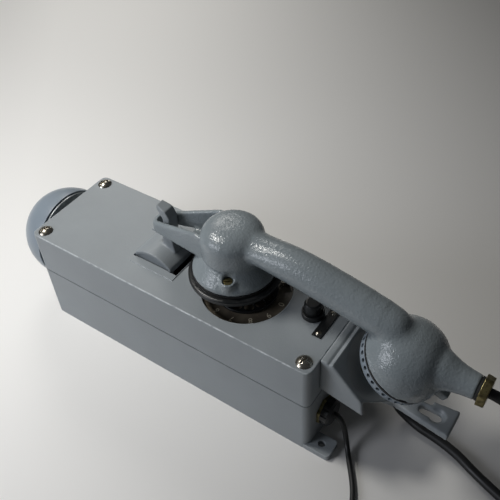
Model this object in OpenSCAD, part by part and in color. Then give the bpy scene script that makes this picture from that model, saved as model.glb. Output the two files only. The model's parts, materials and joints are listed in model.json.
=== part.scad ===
// Industrial wall telephone lying on its back: cast housing, dial, hook, gong, cradle and handset
// +X runs from the gong to the cradle, +Z out of the cover, and the origin is the middle of the back

/* [Housing] */
// Length of the housing, gong end to cradle end
housing_l = 300; // [290:1:320]
// Width of the housing
housing_w = 100; // [96:1:116]
// Height of the rear casting
base_h = 61; // [56:1:70]
// Thickness of the gasket between the castings
gasket_t = 1; // [0.5:0.25:2]
// Height of the front cover
cover_h = 45; // [42:1:52]
// Wall of both castings
wall = 5; // [4:0.5:6]
// Plate on top of the cover
cover_top = 6; // [5:0.5:8]
// Back plate of the rear casting
base_floor = 6; // [5:0.5:8]
// Radius of the upright corners
corner_r = 6; // [4:0.5:8]
// Distance of the cover screws from the ends and the sides
screw_inset = 9.6; // [9:0.1:11]
// Radius of a cover screw's shank
screw_r = 3; // [2.5:0.25:3.5]
// Radius of a cover screw's domed head
screw_head_r = 7; // [6:0.25:8]
// Radius of the pillars that take the cover screws
pillar_r = 7; // [6:0.25:8]

/* [Mounting lugs] */
// Length of a lug beyond the end wall
lug_l = 20; // [18:1:26]
// Width of a lug
lug_w = 18; // [16:1:22]
// Thickness of a lug
lug_t = 6; // [5:0.5:8]
// Radius of the lug holes
lug_hole_r = 3.2; // [2.5:0.1:4]
// Distance of a lug hole from the end wall
lug_hole_x = 9; // [8:0.5:10]
// Distance of a lower lug hole from the side of the housing
lug_hole_y = 9; // [8:0.5:10]

/* [Dial] */
// Distance of the dial from the cradle end
dial_inset = 90; // [88:0.5:92]
// Radius of the hole in the cover
dial_hole_r = 39; // [38:0.25:40]
// Radius of the finger wheel
wheel_r = 26.5; // [26:0.25:27.5]
// Thickness of the finger wheel
wheel_t = 2.5; // [2:0.25:3]
// Radius of a finger hole
finger_r = 4.3; // [4:0.1:4.5]
// Radius of the circle of finger holes
finger_ring_r = 20.4; // [20:0.2:21]
// Angle between finger holes
finger_step = 28; // [27.5:0.25:28.5]
// Depth of the number ring below the cover
number_depth = 5; // [4.5:0.25:6]
// Radius of the dial shaft
dial_shaft_r = 3; // [2.5:0.25:4]

/* [Hook] */
// Distance of the hook's axis from the cradle end
hook_inset = 177; // [176:0.5:178]
// Depth of the hook's axis below the cover
hook_depth = 17; // [16:0.5:18]
// Radius of the rocker's curved plate
rocker_r = 29; // [28.5:0.25:30]
// Width of the rocker
rocker_w = 42; // [40:0.5:44]
// Thickness of the rocker's curved plate
rocker_t = 3.5; // [3:0.25:4]
// Radius of the hook's pin
hook_pin_r = 3; // [2.5:0.25:3.5]
// Width of the hook's finger at its root
hook_finger_w = 11.6; // [10:0.2:12]

/* [Gong] */
// Outer radius of the gong
gong_r = 45; // [42:0.5:46]
// Wall of the gong
gong_t = 2.5; // [2:0.25:3]
// Height of the gong's axis over the back
gong_z = 65; // [62:0.5:68]
// Distance of the gong's rim from the end wall
gong_gap = 7.5; // [7:0.25:9]
// Straight part of the gong beside its rim
gong_straight = 2; // [1:0.5:5]
// Radius of the gong's post
gong_post_r = 4; // [3:0.25:5]

/* [Button and label] */
// Distance of the button from the cradle end
button_inset = 28; // [27:0.5:29]
// Place of the button across the housing
button_y = 4; // [0:0.5:6]
// Radius of the button
button_r = 7.4; // [7:0.1:8]
// Height of the button over the cover
button_h = 15; // [13:0.5:16]
// Length of the label strip
label_l = 32; // [28:1:36]
// Width of the label strip
label_w = 8.4; // [8:0.2:9]

/* [Cradle] */
// Half the width of the cradle
cradle_half = 33; // [32:0.5:36]
// Slope of the cradle's plate
cradle_tilt = 48; // [46:1:50]
// Radius of the dish at the plate
dish_r = 29; // [27:0.5:30]
// Depth of the dish
dish_depth = 10; // [8:0.5:11]
// Thickness of the cradle's plates
cradle_t = 6; // [5:0.5:7]
// Length of the arm beyond the end wall
arm_l = 101; // [98:1:104]
// Thickness of the arm
arm_t = 7; // [6:0.5:8]
// Radius of the slot in the arm
arm_slot_r = 4; // [3.5:0.25:4.5]

/* [Handset] */
// Distance of the earpiece from the cradle end
ear_inset = 100.5; // [99:0.5:102]
// Height of the earpiece's flange over the cover
ear_lift = 21; // [20:0.5:23]
// Radius of the earpiece's flange
ear_flange_r = 35.6; // [35:0.2:37]
// Radius of the cup behind the earpiece
ear_cup_r = 25; // [24.5:0.25:26]
// Radius of the ear cap
ear_cap_r = 39.5; // [39:0.25:41]
// Radius of the handle
handle_r = 14.7; // [14:0.1:16]
// Rise of the handle's middle over its chord
handle_rise = 4.4; // [3:0.2:6]
// Distance of the mouthpiece's dome from the end wall
mouth_reach = 54.5; // [54:0.5:56]
// Height of the mouthpiece's dome over the cover
mouth_lift = 6; // [5.5:0.5:8]
// Radius of the mouthpiece's dome
mouth_r = 33; // [32:0.25:34]
// Lean of the mouthpiece
mouth_tilt = 32; // [30:1:34]
// Sound holes round the mouth cap
mouth_holes = 36; // [30:1:40]
// Radius of the neck at the cord
neck_r = 9.8; // [9:0.1:11]
// Length of the neck from the dome's middle
neck_l = 55; // [52:0.5:58]

/* [Cords] */
// Diameter of the handset cord
cord_d = 8; // [7:0.25:8.5]
// Diameter of the line cord
line_d = 4.6; // [4:0.1:5]
// Turns in each layer of the handset cord's coil
cord_layer_turns = 1.25; // [1.25:1:2.25]
// Turns in each layer of the line cord's coil
line_layer_turns = 1.5; // [1.5:1:2.5]

/* [Hidden] */
$fn = 64;

// Running clearance of a shaft and gap of a loose seat
slip = 0.05;
seat_gap = 0.3;

// Main levels and faces
end_x = housing_l / 2;
side_y = housing_w / 2;
seam_z = base_h + gasket_t;
top_z = seam_z + cover_h;
roof_z = top_z - cover_top;
screw_places = [for (sx = [-1, 1], sy = [-1, 1]) [sx * (end_x - screw_inset), sy * (side_y - screw_inset)]];
screw_head_h = 3.4;
screw_grip = 20;

// Gong, its plate and its clapper
gong_plate_t = 1.2;
gong_slit = 1.6;
gong_rim_x = -end_x - gong_gap;
gong_plate_x = gong_rim_x + gong_slit + gong_plate_t;
gong_centre_x = gong_rim_x - gong_straight;
gong_flat = 0.8;
gong_seat_x = gong_centre_x - gong_r + gong_flat;
gong_inner_x = gong_centre_x - gong_r + gong_t;
gong_shoulder_r = gong_post_r + 3;
standoff_r = 3;
standoff_pin_r = 1.5;
standoff_spread = 28;
standoffs = [for (sy = [-1, 1]) [sy * standoff_spread, base_h - 5.5]];
clapper_pin_r = 1.5;
clapper_hole_r = 6;
clapper_ball_r = 4.5;
clapper_z = gong_z - gong_r + gong_t + clapper_ball_r + 2.3;
clapper_pivot_x = -end_x + wall + 9;
clapper_ball_x = gong_rim_x - 9;
ringer_end_x = clapper_pivot_x + 44;

// Dial
dial_x = end_x - dial_inset;
number_z = top_z - number_depth;
number_t = 1.5;
number_seat_z = number_z - number_t;
number_ring_r = dial_hole_r - 0.4;
wheel_z = number_z + 1.5;
case_r = dial_hole_r + 2;
case_floor_z = roof_z - 26;
case_floor_t = 3;
fingers = 10;
stop_angle = 45;
first_finger = 68;
gear_r = 24;
gear_t = 3;
gear_teeth = 48;
gear_z = case_floor_z + case_floor_t + 4;
dial_hub_r = dial_shaft_r + 5;

// Hook
hook_x = end_x - hook_inset;
hook_z = top_z - hook_depth;
window_x = [hook_x - 20.9, hook_x + 27.9];
window_half = rocker_w / 2 + 0.5;
frame_h = 0.8;
frame_lip = [0.6, 6.7];
rocker_ends = [-19, 21];
rocker_wall = 2.5;
rocker_recess = 1.5;
hub_r = hook_pin_r + 3;
lug_face = rocker_w / 2 + 1;
hook_lug_w = 7;
finger_side = [
    [0.3, 27], [1.7, 34], [3.7, 42], [6.6, 60.5], [-1.4, 69.6], [1, 73.3], [10.6, 70], [14.4, 63], [13.4, 44],
    [14, 34], [15.8, 22]
];
finger_half = hook_finger_w / 2;
finger_plan = [[-2, 2.3], [1, 4.2], [7, 5.4], [17, finger_half]];
ledge_r = 43.3;
ledge_t = 2.6;
ledge_half = 5;
ledge_angles = [-9, 13];

// Button and label
button_x = end_x - button_inset;
collar_r = button_r + 1.2;
collar_h = 5;
collar_flange_r = button_r + 2;
button_travel = 3.5;
label_t = 1;
label_x = end_x - 10 - label_w;
label_y = 1;
label_screws_at = [for (sy = [-1, 1]) [label_x + label_w / 2, label_y + sy * (label_l / 2 - 4)]];

// Cradle
cradle_top = [end_x + 10.2, top_z + 1.2];
cradle_back_t = 6;
cradle_wall = 3;
slope_l = 62;
slope_square = 38;
slope_end_half = 8;
dish_along = 31;
dish_floor_r = 9;
dish_drain_r = 5;
arm_top_z = top_z - 45.5;
arm_x = [end_x + 42, end_x + 54, end_x + arm_l];
arm_half = [9, 7, 13];
slot_x = [end_x + 76, end_x + 87];
cradle_screw_r = 2.5;
cradle_screws_at = [for (sy = [-1, 1]) [sy * (cradle_half - 9), seam_z + 17]];

// Handset
ear_x = end_x - ear_inset;
ear_z = top_z + ear_lift;
ear_lip = 3;
ear_cone_h = 15;
ear_cup_h = 26.6;
ear_gasket_t = 2;
ear_cap_h = 12.5;
ear_cap_z = ear_z - ear_gasket_t;
capsule_r = 26;
ear_screw_ring = 29;
ear_boss_r = 6.5;
ear_screw_r = 2;
ear_screw_seat = 5;
ear_screw_angles = [-65, 55, 175];
mouth_x = end_x + mouth_reach;
mouth_z = top_z + mouth_lift;
mouth_rim = 3;
mouth_gasket_t = 1.6;
mouth_cap_h = 13;
mouth_capsule_r = 24.2;
mouth_boss_r = 4.3;
mouth_boss_ring = mouth_r - 4.2;
mouth_screw_r = 1.4;
mouth_head_r = 2.3;
mouth_screw_angles = [60, 180, 300];
mouth_lug_r = 5.5;
mouth_lug_h = 9;
neck_lift = 6;
neck_drop = 2;
neck_flare_r = 60;
neck_flare_l = 26;
neck_root_r = neck_r + neck_flare_r - sqrt(neck_flare_r * neck_flare_r - neck_flare_l * neck_flare_l);
neck_root_l = 12;
seal_t = 2;
nut_t = 6.2;
nut_af = 22;

// The handle is an arc through the ear's cup and the mouthpiece's dome, at these two heights
handle_ear = [ear_x, ear_z + 36];
handle_mouth = [mouth_x, mouth_z + 25];
handle_end = 14;
handle_chord = norm(handle_mouth - handle_ear);
handle_arc_r = (handle_chord * handle_chord / 4 + handle_rise * handle_rise) / (2 * handle_rise);
handle_half_angle = asin(handle_chord / 2 / handle_arc_r);
handle_slope = atan2(handle_ear[1] - handle_mouth[1], handle_mouth[0] - handle_ear[0]);
handle_middle = (handle_ear + handle_mouth) / 2;
handle_centre = handle_middle - (handle_arc_r - handle_rise) * [sin(handle_slope), cos(handle_slope)];
handle_end_angle = 90 - handle_slope - handle_half_angle + handle_end / handle_arc_r * 180 / PI;
handle_ear_angle = 90 - handle_slope + handle_half_angle;

// Loop that hangs on the hook's finger
nose_wall = 4.3;
nose_in_r = 5.3;
nose_x = hook_x + 2.6;
arm_spread = 10;
loop_arm_l = 60;
loop_top = [ear_z + 15.5, ear_z + 37];
loop_low = [ear_z + 5.5, ear_z + 16];
web_x = [hook_x + 29, ear_x - 15];
web_z = [ear_z + 8.5, ear_z + 11.4];

// Glands in the end wall
gland_z = 32;
gland_y = [-side_y / 2, 0, side_y / 2];
gland_bore_r = 7;
gland_hex_t = 3;
gland_lock_t = 3;
gland_cap_r = 12;
gland_cap_l = 8;
gland_af = 22;
cord_gland_l = [10, 17];
earth_y = -12;
earth_z = 9;
earth_r = 2.5;

// Pieces on the chassis inside
chassis_z = base_floor + 6;
chassis_t = 2;
chassis_x = [ringer_end_x + 6, end_x - wall - 14];
chassis_half = side_y - wall - 12;
chassis_post_r = 5;
chassis_screw_r = 1.5;
chassis_places = [for (x = [chassis_x[0] + 8, chassis_x[1] - 8], sy = [-1, 1]) [x, sy * (chassis_half - 8)]];

// Cords: routes from the end wall, coil centres, and the steps between turns and layers
cord_step = cord_d + 0.8;
line_step = line_d + 0.8;
tie_t = 0.8;
tie_gap = 0.2;
tie_w = 6;
cord_layers = 2;
line_layers = 4;
cord_coil_z = tie_t + tie_gap + cord_d / 2;
line_coil_z = tie_t + tie_gap + line_d / 2;
cord_coil_at = [end_x + 195, 40];
cord_coil_r = 49;
cord_coil_start = -90;
line_coil_at = [end_x + 140, -75];
line_coil_r = 31;
line_coil_start = -90;
coil_rings = 24;
coil_sides = 6;
tube_sides = 10;
function from_end(points) = [for (p = points) p + [end_x, 0, 0]];
cord_lead_route = from_end([
    [114.5, 0, 116.9], [122.5, 0, 116.6], [133, 1, 112.8], [143, 4.5, 104], [150, 11, 90], [154, 20, 74],
    [155, 32, 57], [155, 45, 42], [156, 58, 30], [159, 70.5, 21], [166, 82, 15], [177, 89, 13.8],
    [187, 89, 13.8]
]);
cord_return_route = from_end([
    [11, gland_y[2], gland_z], [19, gland_y[2], gland_z], [30, gland_y[2] - 0.4, 29.5],
    [41, gland_y[2] - 1.4, 21], [50, 22.4, 11], [61, 21, 5.5], [72, 18.6, 4.2], [85, 17, 4.1], [98, 14.5, 4.1],
    [110, 11, 4.1], [121, 6.3, 4.1], [136, 0.5, 4.1], [150.5, -4.5, 4.1], [161, -7.5, 4.3], [170, -9, 4.7],
    [178.5, -9, 5], [187, -9, 5]
]);
line_lead_route = from_end([
    [7, gland_y[0], gland_z], [12, gland_y[0], gland_z], [17, gland_y[0] - 0.2, 29.5],
    [21, gland_y[0] - 0.6, 21.5], [24, -27, 12.5], [29, -32.5, 5], [36, -42, 2.6], [42, -50, 2.5],
    [48.5, -59.5, 2.5], [54, -70, 2.5], [58, -81, 2.5], [65, -91.5, 2.6], [76, -100, 2.8],
    [91, -105, 3.1], [110, -106, 3.3], [125, -106, 3.3], [135.4, -106, 3.3]
]);
line_tail_route = from_end([
    [144.6, -106, 19.5], [152, -106, 19.3], [161, -105, 17], [170, -103, 13.5], [178, -101.5, 10.8],
    [186, -101, 10], [194, -101, 10]
]);
plug_at = [end_x + 190, -101, 10];
plug_r = 10;
plug_l = 38;
plug_pin_r = 2;
plug_pin_l = 17;

// Slab with round upright corners, its lower face centred on the origin
module slab(l, w, h, r) {
    translate([-l / 2 + r, -w / 2, 0]) cube([l - 2 * r, w, h]);
    translate([-l / 2, -w / 2 + r, 0]) cube([l, w - 2 * r, h]);
    for (sx = [-1, 1], sy = [-1, 1])
        translate([sx * (l / 2 - r), sy * (w / 2 - r), 0]) cylinder(r = r, h = h);
}

// Outline drawn in X and Z, with its thickness centred on y
module upright(points, y, t) {
    translate([0, y + t / 2, 0]) rotate([90, 0, 0]) linear_extrude(t) polygon(points);
}

// Round bar along X from x0 to x1
module bar_x(x0, x1, r, y, z) {
    translate([x0, y, z]) rotate([0, 90, 0]) cylinder(r = r, h = x1 - x0);
}

// Hexagonal bar along X from x0 to x1, af wide across its flats
module hex_x(x0, x1, af, y, z) {
    translate([x0, y, z]) rotate([0, 90, 0]) cylinder(r = af / sqrt(3), h = x1 - x0, $fn = 6);
}

// Round bar along Y, its middle on y = 0
module bar_y(l, r, x, z) {
    translate([x, l / 2, z]) rotate([90, 0, 0]) cylinder(r = r, h = l);
}

// Screw with a domed slotted head above its seat and a plain shank below
module domed_screw(head_r, head_h, shank_r, shank_l, slot) {
    dome_r = (head_r * head_r + head_h * head_h) / (2 * head_h);
    difference() {
        union() {
            intersection() {
                translate([0, 0, head_h - dome_r]) sphere(r = dome_r);
                cylinder(r = head_r, h = head_h);
            }
            translate([0, 0, -shank_l]) cylinder(r = shank_r, h = shank_l);
        }
        translate([-head_r, -slot / 2, head_h * 0.5]) cube([2 * head_r, slot, head_h]);
    }
}

// Screw with a flat slotted head
module cheese_screw(head_r, head_h, shank_r, shank_l, slot) {
    difference() {
        union() {
            cylinder(r = head_r, h = head_h);
            translate([0, 0, -shank_l]) cylinder(r = shank_r, h = shank_l);
        }
        translate([-head_r, -slot / 2, head_h * 0.5]) cube([2 * head_r, slot, head_h]);
    }
}

module rear_housing() {
    color("#77838e") difference() {
        union() {
            difference() {
                slab(housing_l, housing_w, base_h, corner_r);
                translate([0, 0, base_floor]) slab(housing_l - 2 * wall, housing_w - 2 * wall, base_h, 1.5);
            }
            for (p = screw_places) translate([p[0], p[1], base_floor / 2])
                cylinder(r = pillar_r, h = base_h - base_floor / 2);
            for (p = chassis_places) translate([p[0], p[1], base_floor / 2])
                cylinder(r = chassis_post_r, h = chassis_z - base_floor / 2);
            for (sy = [-1, 1])
                translate([end_x + (lug_l - corner_r) / 2, sy * (side_y - lug_w / 2), 0])
                    slab(lug_l + corner_r, lug_w, lug_t, 3);
            translate([-end_x - (lug_l - corner_r) / 2, 0, 0]) slab(lug_l + corner_r, lug_w, lug_t, 3);
        }
        for (p = screw_places) translate([p[0], p[1], base_h - screw_grip - 5])
            cylinder(r = screw_r, h = screw_grip + 6);
        for (p = chassis_places) translate([p[0], p[1], base_floor]) cylinder(r = chassis_screw_r, h = chassis_z);
        for (sy = [-1, 1]) translate([end_x + lug_hole_x, sy * (side_y - lug_hole_y), -1])
            cylinder(r = lug_hole_r, h = lug_t + 2);
        translate([-end_x - lug_hole_x, 0, -1]) cylinder(r = lug_hole_r, h = lug_t + 2);
        for (y = gland_y) bar_x(end_x - wall - 1, end_x + 1, gland_bore_r, y, gland_z);
        bar_x(end_x - wall + 1, end_x + 1, earth_r, earth_y, earth_z);
        bar_x(-end_x - 1, -end_x + wall + 1, clapper_hole_r, 0, clapper_z);
        for (p = standoffs) bar_x(-end_x - 1, -end_x + wall + 1, standoff_pin_r, p[0], p[1]);
    }
}

module cover_gasket() {
    color("#23272b") translate([0, 0, base_h]) difference() {
        union() {
            difference() {
                slab(housing_l, housing_w, gasket_t, corner_r);
                translate([0, 0, -1]) slab(housing_l - 2 * wall, housing_w - 2 * wall, gasket_t + 2, 1.5);
            }
            for (p = screw_places) translate([p[0], p[1], 0]) cylinder(r = pillar_r, h = gasket_t);
        }
        for (p = screw_places) translate([p[0], p[1], -1]) cylinder(r = screw_r + 0.2, h = gasket_t + 2);
    }
}

module front_cover() {
    window_l = window_x[1] - window_x[0];
    lug_h = roof_z - hook_z + hub_r + 3;
    color("#808c97") difference() {
        union() {
            difference() {
                translate([0, 0, seam_z]) slab(housing_l, housing_w, cover_h, corner_r);
                translate([0, 0, seam_z - 1])
                    slab(housing_l - 2 * wall, housing_w - 2 * wall, roof_z - seam_z + 1, 1.5);
            }
            for (p = screw_places) translate([p[0], p[1], seam_z]) cylinder(r = pillar_r, h = cover_h - 1);
            translate([window_x[0] - frame_lip[0], -window_half - frame_lip[1], top_z - 1])
                cube([window_l + 2 * frame_lip[0], 2 * (window_half + frame_lip[1]), 1 + frame_h]);
            for (sy = [-1, 1])
                translate([hook_x - hub_r - 3, sy * (lug_face + hook_lug_w / 2) - hook_lug_w / 2, roof_z + 1 - lug_h])
                    cube([2 * hub_r + 6, hook_lug_w, lug_h]);
        }
        for (p = screw_places) translate([p[0], p[1], seam_z - 1])
            cylinder(r = screw_r + 0.2, h = cover_h + 2);
        translate([dial_x, 0, roof_z - 1]) cylinder(r = dial_hole_r, h = cover_top + 2);
        translate([window_x[0], -window_half, roof_z - 1]) cube([window_l, 2 * window_half, cover_top + 3]);
        bar_y(2 * (lug_face + hook_lug_w) + 2, hook_pin_r, hook_x, hook_z);
        translate([button_x, button_y, roof_z - 1]) cylinder(r = collar_r, h = cover_top + 2);
        for (p = label_screws_at) translate([p[0], p[1], top_z - 4]) cylinder(r = 1.2, h = 5);
        for (p = cradle_screws_at) bar_x(end_x - wall - 1, end_x + 1, cradle_screw_r, p[0], p[1]);
    }
}

module cover_screws() {
    color("#b8b2a6") for (p = screw_places) translate([p[0], p[1], top_z]) rotate([0, 0, 70])
        domed_screw(screw_head_r, screw_head_h, screw_r, top_z - base_h + screw_grip, 1.4);
}

module gong() {
    color("#7f909e") translate([gong_rim_x, 0, gong_z]) rotate([0, -90, 0]) difference() {
        union() {
            cylinder(r = gong_r, h = gong_straight);
            translate([0, 0, gong_straight]) sphere(r = gong_r);
        }
        translate([0, 0, -1]) cylinder(r = gong_r - gong_t, h = gong_straight + 1);
        translate([0, 0, gong_straight]) sphere(r = gong_r - gong_t);
        translate([0, 0, -2 * gong_r]) cylinder(r = gong_r + 2, h = 2 * gong_r);
        translate([0, 0, gong_rim_x - gong_seat_x]) cylinder(r = gong_r, h = gong_r);
        translate([0, 0, gong_rim_x - gong_inner_x - 2]) cylinder(r = gong_shoulder_r + 0.2, h = 2);
        cylinder(r = gong_post_r, h = 2 * gong_r);
    }
}

module gong_plate() {
    back = gong_plate_x + 1;
    front = gong_plate_x - gong_plate_t - 1;
    color("#a9b1b7") difference() {
        bar_x(gong_plate_x - gong_plate_t, gong_plate_x, gong_r - 1, 0, gong_z);
        bar_x(front, back, gong_post_r, 0, gong_z);
        bar_x(front, back, clapper_hole_r, 0, clapper_z);
        for (p = standoffs) bar_x(front, back, standoff_pin_r, p[0], p[1]);
    }
}

module gong_standoffs() {
    plate_front = gong_plate_x - gong_plate_t;
    color("#8d8f90") for (p = standoffs) {
        bar_x(gong_plate_x, -end_x, standoff_r, p[0], p[1]);
        bar_x(plate_front - 2, -end_x + wall, standoff_pin_r, p[0], p[1]);
        bar_x(plate_front - 2, plate_front, standoff_r, p[0], p[1]);
    }
}

module gong_post() {
    nut_r = gong_post_r + 4;
    color("#a8a39a") {
        bar_x(gong_inner_x, gong_plate_x - gong_plate_t, gong_shoulder_r, 0, gong_z);
        bar_x(gong_seat_x - 3, gong_plate_x + 2, gong_post_r, 0, gong_z);
        bar_x(gong_plate_x, gong_plate_x + 2.5, gong_shoulder_r, 0, gong_z);
        intersection() {
            translate([gong_seat_x + 1, 0, gong_z]) sphere(r = nut_r);
            bar_x(gong_seat_x - nut_r, gong_seat_x, nut_r, 0, gong_z);
        }
    }
}

module bell_clapper() {
    color("#a88a4c") difference() {
        union() {
            bar_x(clapper_ball_x, clapper_pivot_x + 10, 1.5, 0, clapper_z);
            translate([clapper_ball_x, 0, clapper_z]) sphere(r = clapper_ball_r);
            bar_y(9, 4, clapper_pivot_x, clapper_z);
            translate([clapper_pivot_x + 8, -12, clapper_z - 3]) cube([11, 24, 6]);
        }
        bar_y(20, clapper_pin_r + slip, clapper_pivot_x, clapper_z);
    }
}

module clapper_pin() {
    color("#9a9a98") bar_y(20, clapper_pin_r, clapper_pivot_x, clapper_z);
}

module ringer_frame() {
    x0 = clapper_pivot_x - 6;
    color("#6f6a60") difference() {
        union() {
            translate([x0, -14, base_floor]) cube([ringer_end_x - x0, 28, 3]);
            for (sy = [-1, 1]) translate([x0, sy * 7.5 - 2.5, base_floor]) cube([12, 5, clapper_z + 5 - base_floor]);
            translate([ringer_end_x - 8, -14, base_floor]) cube([8, 28, clapper_z + 8 - base_floor]);
        }
        bar_y(40, clapper_pin_r, clapper_pivot_x, clapper_z);
    }
}

module ringer_coils() {
    x1 = ringer_end_x - 8;
    color("#7b3f2a") for (sy = [-1, 1]) {
        bar_x(clapper_pivot_x + 23, x1, 2.5, sy * 7, clapper_z);
        bar_x(clapper_pivot_x + 24, clapper_pivot_x + 25, 6.6, sy * 7, clapper_z);
        bar_x(clapper_pivot_x + 25, x1 - 1, 5.6, sy * 7, clapper_z);
        bar_x(x1 - 1, x1, 6.6, sy * 7, clapper_z);
    }
}

module dial_case() {
    color("#3a3c3e") translate([dial_x, 0, 0]) difference() {
        union() {
            translate([0, 0, case_floor_z]) cylinder(r = case_r, h = roof_z - case_floor_z);
            translate([0, 0, roof_z - 3]) cylinder(r = case_r + 2.5, h = 3);
            translate([0, 0, case_floor_z]) cylinder(r = number_ring_r, h = number_seat_z - case_floor_z);
        }
        translate([0, 0, case_floor_z + case_floor_t]) cylinder(r = number_ring_r - 4, h = cover_h);
        translate([0, 0, number_seat_z]) cylinder(r = number_ring_r + 0.1, h = cover_h);
        translate([0, 0, case_floor_z - 1]) cylinder(r = dial_shaft_r + slip, h = case_floor_t + 2);
    }
}

module number_ring() {
    color("#6e6250") translate([dial_x, 0, number_seat_z]) difference() {
        cylinder(r = number_ring_r, h = number_t);
        translate([0, 0, -1]) cylinder(r = dial_hub_r + 0.5, h = number_t + 2);
    }
}

module finger_wheel() {
    color("#1d1f22") translate([dial_x, 0, wheel_z]) difference() {
        cylinder(r = wheel_r, h = wheel_t);
        translate([0, 0, -1]) cylinder(r = dial_shaft_r, h = wheel_t + 2);
        for (i = [0 : fingers - 1]) rotate([0, 0, stop_angle + first_finger + i * finger_step])
            translate([finger_ring_r, 0, -1]) cylinder(r = finger_r, h = wheel_t + 2);
    }
}

module dial_shaft() {
    hub_z = gear_z + gear_t;
    color("#9c9b98") translate([dial_x, 0, 0]) {
        translate([0, 0, case_floor_z - 3]) cylinder(r = dial_shaft_r, h = wheel_z + wheel_t - case_floor_z + 3);
        translate([0, 0, hub_z]) cylinder(r = dial_hub_r, h = wheel_z - hub_z);
    }
}

module dial_gear() {
    tooth = 360 / gear_teeth;
    color("#a98f52") translate([dial_x, 0, gear_z]) difference() {
        linear_extrude(gear_t) polygon([for (i = [0 : gear_teeth - 1], k = [0 : 3])
            (gear_r + (k == 1 || k == 2 ? 1.6 : 0)) * [cos((i + k * 0.22) * tooth), sin((i + k * 0.22) * tooth)]]);
        translate([0, 0, -1]) cylinder(r = dial_shaft_r, h = gear_t + 2);
        for (a = [0 : 90 : 270]) rotate([0, 0, a]) translate([gear_r * 0.58, 0, -1]) cylinder(r = 5, h = gear_t + 2);
    }
}

module dial_cap() {
    cap_r = dial_hub_r + 3;
    color("#1b1d20") translate([dial_x, 0, wheel_z + wheel_t]) intersection() {
        translate([0, 0, 2.5 - cap_r * 2.4]) sphere(r = cap_r * 2.4, $fn = 160);
        cylinder(r = cap_r, h = 3);
    }
}

module finger_stop() {
    blade_z = wheel_z + wheel_t + 0.5;
    foot = wheel_r + 2;
    color("#b0b0ac") translate([dial_x, 0, 0]) rotate([0, 0, stop_angle]) {
        translate([foot, -2.5, number_z]) cube([number_ring_r - 2 - foot, 5, blade_z - number_z]);
        translate([finger_ring_r - finger_r, -2.5, blade_z])
            cube([number_ring_r - 2 - finger_ring_r + finger_r, 5, 1.2]);
    }
}

// Outline of the rocker seen along its pin: a round back with upright ends, narrowing to the hub
module rocker_side(r) {
    foot = hub_r + 2;
    intersection() {
        circle(r = r);
        polygon([[-hub_r, 0], [rocker_ends[0], foot], [rocker_ends[0], 2 * r], [rocker_ends[1], 2 * r],
                 [rocker_ends[1], foot], [hub_r, 0]]);
    }
}

module hook_rocker() {
    plate_w = rocker_w;
    wall_y = plate_w / 2 - rocker_recess - rocker_wall / 2;
    color("#858f98") difference() {
        union() {
            translate([hook_x, plate_w / 2, hook_z]) rotate([90, 0, 0]) linear_extrude(plate_w) difference() {
                rocker_side(rocker_r);
                circle(r = rocker_r - rocker_t);
            }
            for (sy = [-1, 1]) translate([hook_x, sy * wall_y + rocker_wall / 2, hook_z]) rotate([90, 0, 0])
                linear_extrude(rocker_wall) rocker_side(rocker_r - 0.2);
            bar_y(2 * (lug_face - seat_gap), hub_r, hook_x, hook_z);
            intersection() {
                translate([hook_x, 0, hook_z]) upright(finger_side, 0, 2 * hook_finger_w);
                translate([hook_x, 0, hook_z]) linear_extrude(3 * rocker_r) polygon(concat(
                    finger_plan, [for (i = [len(finger_plan) - 1 : -1 : 0]) [finger_plan[i][0], -finger_plan[i][1]]]));
            }
            translate([hook_x, ledge_half, hook_z]) rotate([90, 0, 0]) linear_extrude(2 * ledge_half) intersection() {
                difference() {
                    circle(r = ledge_r);
                    circle(r = ledge_r - ledge_t);
                }
                polygon([[0, 0], for (a = ledge_angles) 2 * ledge_r * [-sin(a), cos(a)]]);
            }
        }
        bar_y(2 * lug_face, hook_pin_r + slip, hook_x, hook_z);
    }
}

module hook_pin() {
    color("#9c9b98") bar_y(2 * (lug_face + hook_lug_w), hook_pin_r, hook_x, hook_z);
}

module hook_contacts() {
    x0 = window_x[1] + 3;
    color("#8a5a34") translate([x0, -9, hook_z - hub_r - 8]) cube([9, 18, roof_z - hook_z + hub_r + 8]);
    color("#b08d4e") for (i = [0 : 2])
        translate([hook_x, -6 + i * 4.5, hook_z - hub_r - 6]) cube([x0 - hook_x, 3, 1]);
}

module push_button() {
    low_z = roof_z - 4 - seat_gap;
    color("#2b2f34") translate([button_x, button_y, 0]) {
        translate([0, 0, low_z]) cylinder(r = button_r, h = top_z + button_h - 1.5 - low_z);
        translate([0, 0, top_z + button_h - 1.5]) cylinder(r1 = button_r, r2 = button_r - 1.5, h = 1.5);
        translate([0, 0, low_z - 3]) cylinder(r = collar_r, h = 3);
    }
}

module button_collar() {
    color("#17191c") translate([button_x, button_y, 0]) difference() {
        union() {
            translate([0, 0, top_z]) cylinder(r = collar_flange_r, h = collar_h);
            translate([0, 0, roof_z - 4]) cylinder(r = collar_r, h = cover_top + 5);
            translate([0, 0, roof_z - 4]) cylinder(r = collar_r + 2.5, h = 4);
        }
        translate([0, 0, roof_z - 5]) cylinder(r = button_r + slip, h = cover_top + collar_h + 6);
    }
}

module button_contacts() {
    leaf_z = roof_z - 4 - seat_gap - 3 - button_travel - 2;
    y0 = button_y + collar_r + 4;
    color("#8a5a34") translate([button_x - 5, y0, leaf_z - 4]) cube([10, 6, roof_z - leaf_z + 4]);
    color("#b08d4e") translate([button_x - 3, button_y - 3, leaf_z]) cube([6, y0 - button_y + 3, 1]);
}

module label_plate() {
    color("#15171a") difference() {
        translate([label_x, label_y - label_l / 2, top_z]) cube([label_w, label_l, label_t]);
        for (p = label_screws_at) translate([p[0], p[1], top_z - 1]) cylinder(r = 1.2, h = label_t + 2);
    }
}

module label_screws() {
    color("#c9c6bd") for (p = label_screws_at) translate([p[0], p[1], top_z + label_t]) rotate([0, 0, 30])
        domed_screw(2.4, 1.1, 1.2, label_t + 4, 0.6);
}

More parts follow.
